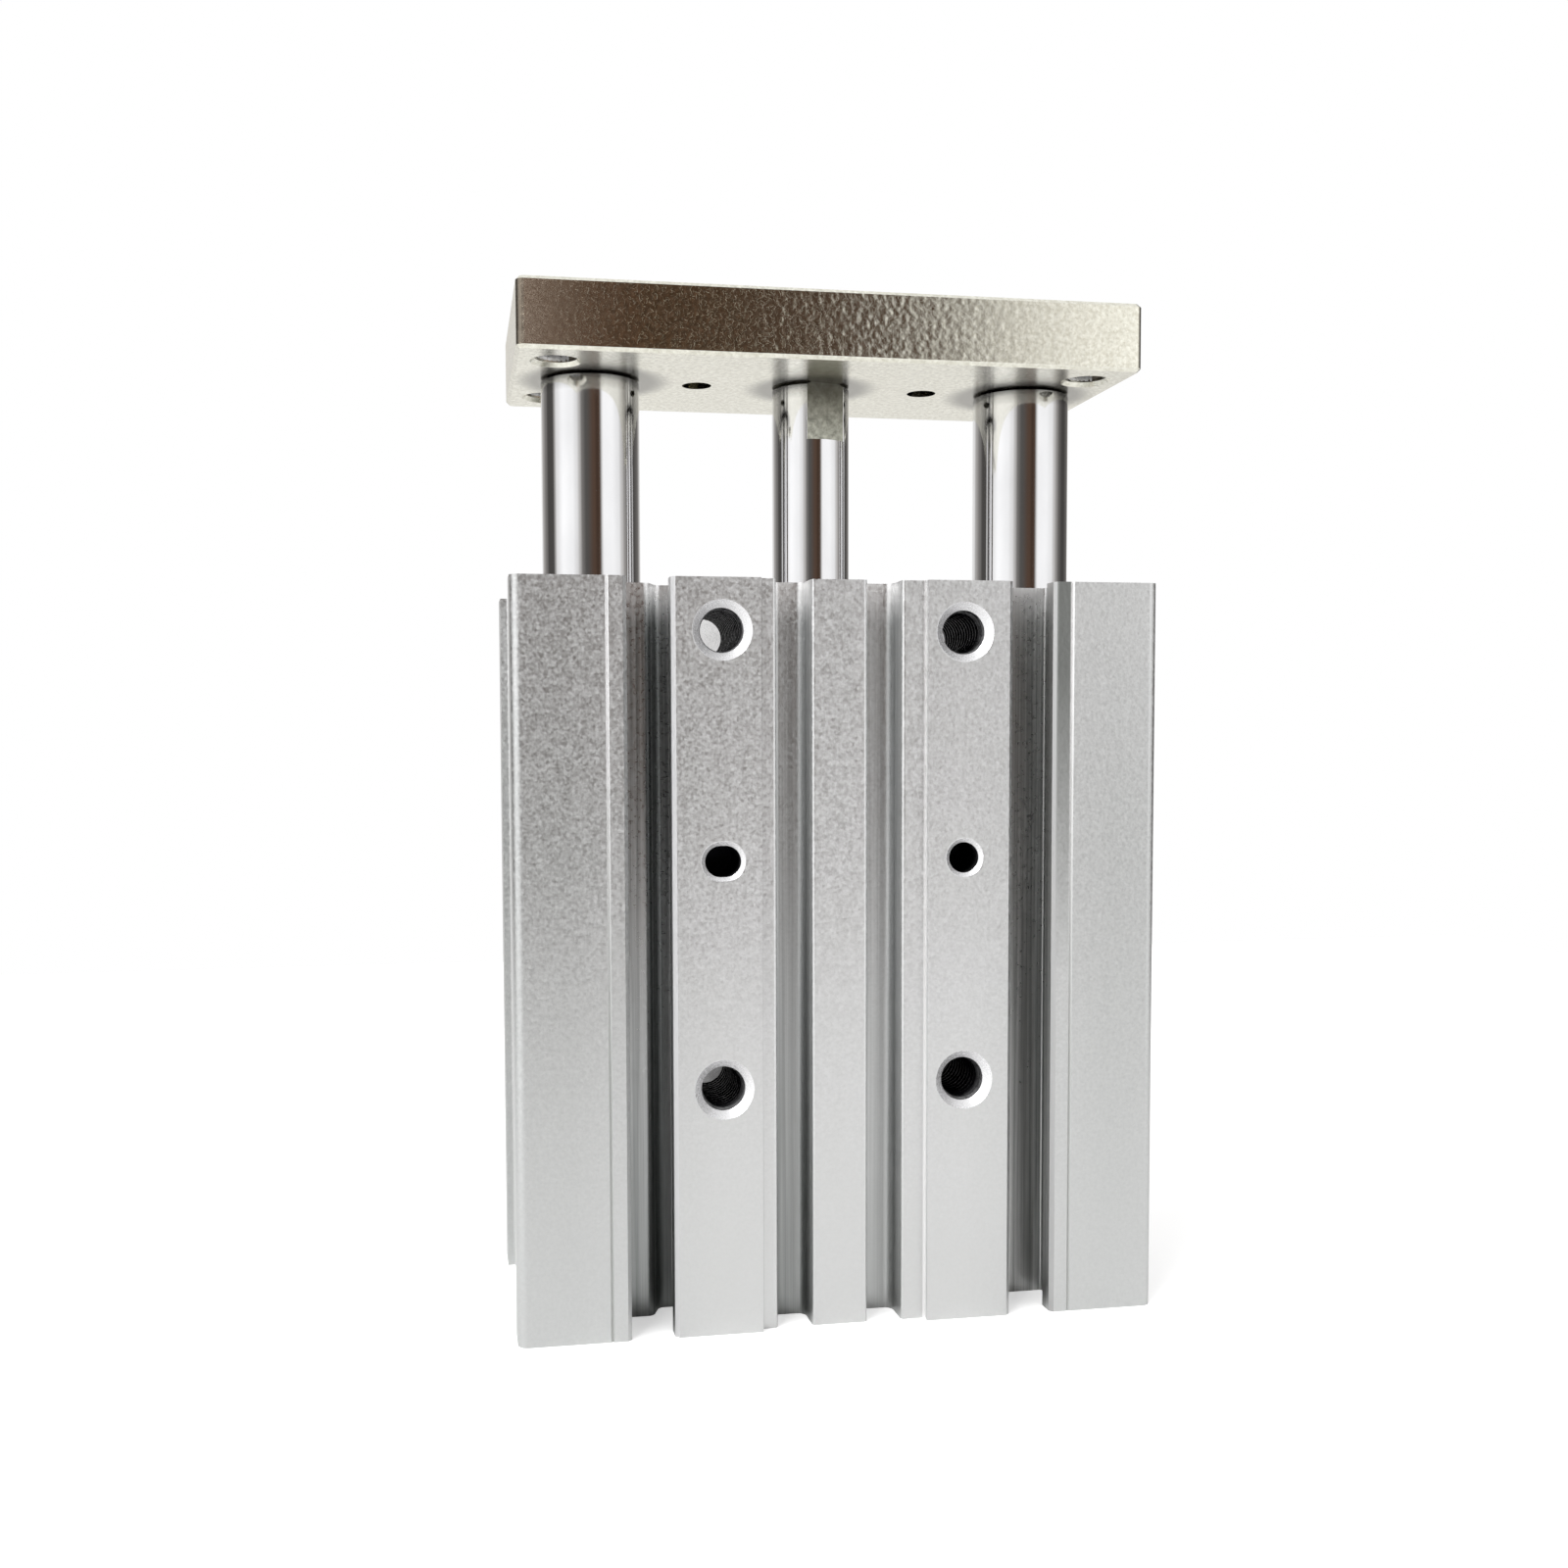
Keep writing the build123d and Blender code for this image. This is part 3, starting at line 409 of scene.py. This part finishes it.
def turned_aluminium():
    """Turned cover or piston: fine rings on the faces and round the sides."""
    look = Surface("cover_aluminium", (0.66, 0.67, 0.67), metallic=1.0, roughness=0.32)
    around = look.rings(0.14)
    along = look.noise(0.10, detail=2, stretch=(0.02, 0.02, 1))
    upright = look.spread(look.math("ABSOLUTE", look.axes(look.facing)[2]), 0, 1, 0.3, 0.8)
    marks = look.math("ADD", look.times(around, upright), look.times(along, 0.5))
    look.colour(look.ramp(marks, 0.1, 1.2, (0.54, 0.55, 0.55), (0.76, 0.77, 0.77)))
    look.roughness(look.spread(look.noise(0.6, detail=3), 0.24, 0.40, 0.3, 0.7))
    look.bump(marks, 0.004)
    return look.material


def sintered_bush():
    """Oily sintered bronze: small dark pores."""
    look = Surface("bush", (0.50, 0.36, 0.19), metallic=1.0, roughness=0.4)
    pores = look.cells(0.16)
    stain = look.noise(1.2, detail=3)
    open_pore = look.spread(pores, 1, 0, 0.05, 0.35)
    base = look.ramp(stain, 0.3, 0.7, (0.40, 0.29, 0.16), (0.62, 0.47, 0.27))
    look.colour(look.blend(look.times(open_pore, 0.6), base, (0.10, 0.07, 0.04)))
    look.roughness(look.spread(stain, 0.28, 0.5, 0.3, 0.7))
    look.bump(pores, 0.015)
    return look.material


def rubber(name, dark, light):
    """Moulded rubber or urethane: satin, slightly dusty."""
    look = Surface(name, dark, metallic=0.0, roughness=0.5)
    dust = look.noise(0.5, detail=4, rough=0.6)
    look.colour(look.ramp(dust, 0.35, 0.8, dark, light))
    look.roughness(look.spread(look.noise(0.2, detail=2), 0.38, 0.62, 0.3, 0.7))
    look.bump(look.noise(0.12, detail=2), 0.01)
    return look.material


def bonded_magnet():
    """Bonded magnet ring: matte, dark, with metal flecks."""
    look = Surface("magnet", (0.07, 0.07, 0.075), metallic=0.2, roughness=0.6)
    flecks = look.spread(look.cells(0.10, colour=True), 0, 1, 0.86, 0.96)
    look.colour(look.blend(flecks, (0.055, 0.055, 0.06), (0.24, 0.24, 0.25)))
    look.roughness(look.spread(look.noise(0.3, detail=3), 0.5, 0.72, 0.3, 0.7))
    look.bump(look.noise(0.10, detail=2), 0.012)
    return look.material


def dark_steel(name, low, high, gloss):
    """Black oxide or phosphate on steel: dark, uneven, worn a little lighter in spots."""
    look = Surface(name, low, metallic=0.9, roughness=gloss)
    worn = look.noise(0.9, detail=5, rough=0.65)
    look.colour(look.ramp(worn, 0.35, 0.75, low, high))
    look.roughness(look.spread(look.noise(0.25, detail=3), gloss - 0.08, gloss + 0.12, 0.3, 0.7))
    look.bump(look.noise(0.15, detail=3), 0.008)
    return look.material


def bare_thread(name, axis, mouth, deep):
    """Cut thread in bare metal: clean at its mouth, painted dark as shade at deep millimetres along the axis.
    """
    look = Surface(name, (0.42, 0.42, 0.43), metallic=0.7, roughness=0.32)
    oil = look.noise(0.5, detail=3)
    fresh = look.ramp(oil, 0.35, 0.7, (0.60, 0.60, 0.61), (0.85, 0.85, 0.86))
    # Painted shade: the thread darkens from its mouth to deep millimetres along the axis
    depth = look.spread(look.axes()[axis], 0, 1, mouth * MM, deep * MM)
    look.colour(look.blend(depth, fresh, (0.008, 0.008, 0.010)))
    look.roughness(look.spread(oil, 0.22, 0.42, 0.3, 0.7))
    look.bump(look.noise(0.08, detail=2), 0.006)
    return look.material


slot_looks = {
    "anodised_aluminium": anodised_body(),
    "plated_steel": plated_steel(),
    "chromed_rod": chromed_rod("chromed_rod"),
    "cover_aluminium": turned_aluminium(),
    "bush": sintered_bush(),
    "black_rubber": rubber("black_rubber", (0.018, 0.018, 0.019), (0.05, 0.05, 0.052)),
    "bumper_urethane": rubber("bumper_urethane", (0.26, 0.10, 0.035), (0.38, 0.17, 0.07)),
    "magnet": bonded_magnet(),
    "dark_spring_steel": dark_steel("dark_spring_steel", (0.06, 0.058, 0.055), (0.20, 0.19, 0.18), 0.36),
    "dark_steel_screw": dark_steel("dark_steel_screw", (0.05, 0.05, 0.052), (0.17, 0.17, 0.175), 0.30),
}
for entry in frame["record"]["subparts"]:
    carried = nodes[entry["node"]]
    carried.data.materials.clear()
    carried.data.materials.append(slot_looks[entry["material_slot"]])
nodes["piston_rod"].data.materials[0] = chromed_rod("chromed_piston_rod", milled_flat=True)


def thread_ridge(name, body, material, spots, radius, height=0.2, pitch=0.8, segments=28):
    """One mesh of helical ridges on the walls of round holes.

    Each spot is (mouth centre, inward direction, start depth, end depth) in millimetres.
    """
    mesh = bpy.data.meshes.new(name)
    shape = bmesh.new()
    profile = ((0.0, -0.44), (height, -0.09), (height, 0.09), (0.0, 0.44))
    for mouth, inward, start, end in spots:
        axis = Vector(inward).normalized()
        across = axis.orthogonal().normalized()
        beside = axis.cross(across)
        turns = (end - start - pitch) / pitch
        steps = int(turns * segments)
        loops = []
        for step in range(steps + 1):
            angle = 2 * math.pi * step / segments
            out = across * math.cos(angle) + beside * math.sin(angle)
            fade = min(1.0, step / (segments / 2), (steps - step) / (segments / 2))
            depth = start + pitch / 2 + pitch * step / segments
            loop = []
            for rise, shift in profile:
                reach = radius + 0.01 - rise * fade
                along = axis * (depth + shift * pitch)
                loop.append(shape.verts.new((Vector(mouth) + out * reach + along) * MM))
            loops.append(loop)
        for before, after in zip(loops, loops[1:]):
            for k in range(len(profile) - 1):
                shape.faces.new((before[k], before[k + 1], after[k + 1], after[k]))
        for before, after in zip(loops, loops[1:]):
            shape.faces.new((before[-1], before[0], after[0], after[-1]))
        shape.faces.new(loops[0])
        shape.faces.new(loops[-1])
    bmesh.ops.recalc_face_normals(shape, faces=shape.faces)
    shape.to_mesh(mesh)
    shape.free()
    mesh.materials.append(material)
    made = bpy.data.objects.new(name, mesh)
    bpy.context.scene.collection.objects.link(made)
    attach(made, body)


thread_ridge(
    "mounting_hole_threads",
    "cylinder",
    bare_thread("mounting_thread", 1, -14.6, -12.9),
    [((s * COLUMN, FRONT, h), (0, 1, 0), 0.75, 13.5) for s in SIDES for h in HOLE_ROWS],
    THROUGH_RADIUS,
)
thread_ridge(
    "rear_hole_threads",
    "cylinder",
    bare_thread("rear_thread", 2, 0.5, 4.5),
    [((sx * THREAD_COLUMN, sy * REAR_THREAD_Y, 0), (0, 0, 1), 0.4, 6.6) for sx in SIDES for sy in SIDES],
    THREAD_RADIUS,
)
thread_ridge(
    "air_port_threads",
    "cylinder",
    bare_thread("port_thread", 1, 14.6, 10.5),
    [((0, BACK, h), (0, -1, 0), 0.4, 5.2) for h in PORT_ROWS],
    THREAD_RADIUS,
)
thread_ridge(
    "plate_threads",
    "slide",
    bare_thread("plate_thread", 2, 94.5, 98.5),
    [
        ((sx * THREAD_COLUMN, sy * PLATE_THREAD_Y, PLATE_BOTTOM), (0, 0, 1), 0.4, 6.3)
        for sx in SIDES
        for sy in SIDES
    ],
    THREAD_RADIUS,
)

# Camera where the photograph was taken from
yaw, pitch, roll = 0.174475717, 0.056072925, -0.00446157
focal_pixels, image_pixels = 1608.909, 1600
middle_x, middle_y = 740.453, 853.884
forward = Vector((math.sin(yaw) * math.cos(pitch), math.cos(yaw) * math.cos(pitch), -math.sin(pitch)))
level = Vector((math.cos(yaw), -math.sin(yaw), 0))
upward = level.cross(forward)
right = level * math.cos(roll) + upward * math.sin(roll)
up = upward * math.cos(roll) - level * math.sin(roll)
camera_data = bpy.data.cameras.new("camera")
camera_data.sensor_width = 36
camera_data.lens = focal_pixels / image_pixels * camera_data.sensor_width
camera_data.shift_x = (image_pixels / 2 - middle_x) / image_pixels
camera_data.shift_y = (middle_y - image_pixels / 2) / image_pixels
camera_data.clip_start, camera_data.clip_end = 0.01, 20
camera = bpy.data.objects.new("camera", camera_data)
camera.matrix_world = Matrix.Translation(Vector(CAMERA_PLACE) * MM) @ Matrix(
    (right, up, -forward)
).transposed().to_4x4()
bpy.context.scene.collection.objects.link(camera)
bpy.context.scene.camera = camera


def studio_world():
    """White to the camera. The part sees soft panels left, right, behind and overhead, and dark gaps."""
    world = bpy.data.worlds.new("studio")
    world.use_nodes = True
    tree = world.node_tree
    tree.nodes.clear()
    direction = add_node(tree, "ShaderNodeSeparateXYZ")
    tree.links.new(add_node(tree, "ShaderNodeTexCoord").outputs["Generated"], direction.inputs[0])
    x, y, z = direction.outputs
    bearing = add_math(tree, "ARCTAN2", x, add_math(tree, "MULTIPLY", y, -1.0))
    turn = add_math(tree, "ADD", add_math(tree, "DIVIDE", bearing, 2 * math.pi), 0.5)
    # Bearing in degrees, where 0 is -Y and 90 is +X, and brightness
    stops = [
        (-180, 0.86), (-165, 0.83), (-154, 0.45), (-132, 0.20), (-122, 0.08), (-104, 0.08),
        (-98, 0.4), (-92, 0.9), (-72, 1.2), (-50, 1.10), (-38, 0.90), (-31, 0.55), (-25, 0.2), (-16, 0.10),
        (3, 0.10), (10, 0.065), (15.5, 0.085), (18, 0.32), (21, 0.82), (24.5, 1.1), (45, 1.12),
        (62, 0.98), (72, 0.62), (80, 0.34), (90, 0.14), (103, 0.07), (112, 0.07), (124, 0.12), (136, 0.18),
        (148, 0.50), (160, 0.84), (180, 0.86),
    ]
    peak = max(level for _, level in stops)
    warm_tint = 0.12  # share of the blue that is missing where it is darkest
    brown_from, brown_to = -2, 16  # degrees; the plate's front reflects this part of the dark gap
    brown_green, brown_blue = 0.62, 0.44
    panels = add_node(tree, "ShaderNodeValToRGB")
    ramp = panels.color_ramp
    ramp.interpolation = "EASE"
    while len(ramp.elements) < len(stops):
        ramp.elements.new(0.5)
    for element, (degrees, level) in zip(ramp.elements, stops):
        element.position = (degrees + 180) / 360
        warmth = max(0.0, 1 - level) * warm_tint
        green, blue = 1 - warmth / 2, 1 - warmth
        if brown_from < degrees < brown_to:
            green, blue = brown_green, brown_blue
        element.color = (level / peak, level / peak * green, level / peak * blue, 1)
    tree.links.new(turn, panels.inputs[0])
    # Steep directions see the overhead light instead of the panels
    lift = add_node(tree, "ShaderNodeMapRange", clamp=True, interpolation_type="SMOOTHSTEP")
    lift.inputs["From Min"].default_value = 0.50
    lift.inputs["From Max"].default_value = 0.85
    tree.links.new(z, lift.inputs["Value"])
    sky = add_node(tree, "ShaderNodeMix", data_type="RGBA")
    tree.links.new(lift.outputs["Result"], sky.inputs["Factor"])
    tree.links.new(panels.outputs["Color"], sky.inputs["A"])
    sky.inputs["B"].default_value = (0.75, 0.75, 0.75, 1)
    room = add_node(tree, "ShaderNodeBackground")
    tree.links.new(sky.outputs["Result"], room.inputs["Color"])
    room.inputs["Strength"].default_value = peak
    white = add_node(tree, "ShaderNodeBackground")
    white.inputs["Color"].default_value = (1, 1, 1, 1)
    white.inputs["Strength"].default_value = 1.0
    path = add_node(tree, "ShaderNodeLightPath")
    chosen = add_node(tree, "ShaderNodeMixShader")
    tree.links.new(path.outputs["Is Camera Ray"], chosen.inputs["Fac"])
    tree.links.new(room.outputs[0], chosen.inputs[1])
    tree.links.new(white.outputs[0], chosen.inputs[2])
    out = add_node(tree, "ShaderNodeOutputWorld")
    tree.links.new(chosen.outputs[0], out.inputs["Surface"])
    return world


bpy.context.scene.world = studio_world()
bpy.context.scene.view_settings.view_transform = "Standard"


def studio_floor():
    """Pale floor that the camera sees as white paper with the part's soft shadow on it."""
    half = 0.26  # metres
    glow_strength = 0.45  # white that the camera sees on top of the floor's own
    mesh = bpy.data.meshes.new("floor")
    corners = [(-half, -half, 0), (half, -half, 0), (half, half, 0), (-half, half, 0)]
    mesh.from_pydata(corners, [], [(0, 1, 2, 3)])
    floor = bpy.data.objects.new("floor", mesh)
    bpy.context.scene.collection.objects.link(floor)
    material = bpy.data.materials.new("floor")
    material.use_nodes = True
    tree = material.node_tree
    shader = tree.nodes["Principled BSDF"]
    shader.inputs["Base Color"].default_value = (0.86, 0.86, 0.86, 1)
    shader.inputs["Roughness"].default_value = 0.9
    shader.inputs["Specular IOR Level"].default_value = 0.0
    glow = add_node(tree, "ShaderNodeEmission")
    glow.inputs["Color"].default_value = (1, 1, 1, 1)
    seen = add_node(tree, "ShaderNodeLightPath").outputs["Is Camera Ray"]
    tree.links.new(add_math(tree, "MULTIPLY", seen, glow_strength), glow.inputs["Strength"])
    both = add_node(tree, "ShaderNodeAddShader")
    tree.links.new(shader.outputs[0], both.inputs[0])
    tree.links.new(glow.outputs[0], both.inputs[1])
    tree.links.new(both.outputs[0], tree.nodes["Material Output"].inputs["Surface"])
    mesh.materials.append(material)


studio_floor()


def soft_lamp(name, place, aim, size, power):
    """Rectangular lamp at place, turned to aim, with its size in metres and its power in watts."""
    data = bpy.data.lights.new(name, "AREA")
    data.shape = "RECTANGLE"
    data.size, data.size_y = size
    data.energy = power
    lamp = bpy.data.objects.new(name, data)
    lamp.location = place
    lamp.rotation_mode = "QUATERNION"
    lamp.rotation_quaternion = (Vector(aim) - Vector(place)).to_track_quat("-Z", "Y")
    bpy.context.scene.collection.objects.link(lamp)


soft_lamp("overhead_left", place=(-0.35, -0.30, 0.55), aim=(0, 0, 0.05), size=(0.35, 0.35), power=3.0)
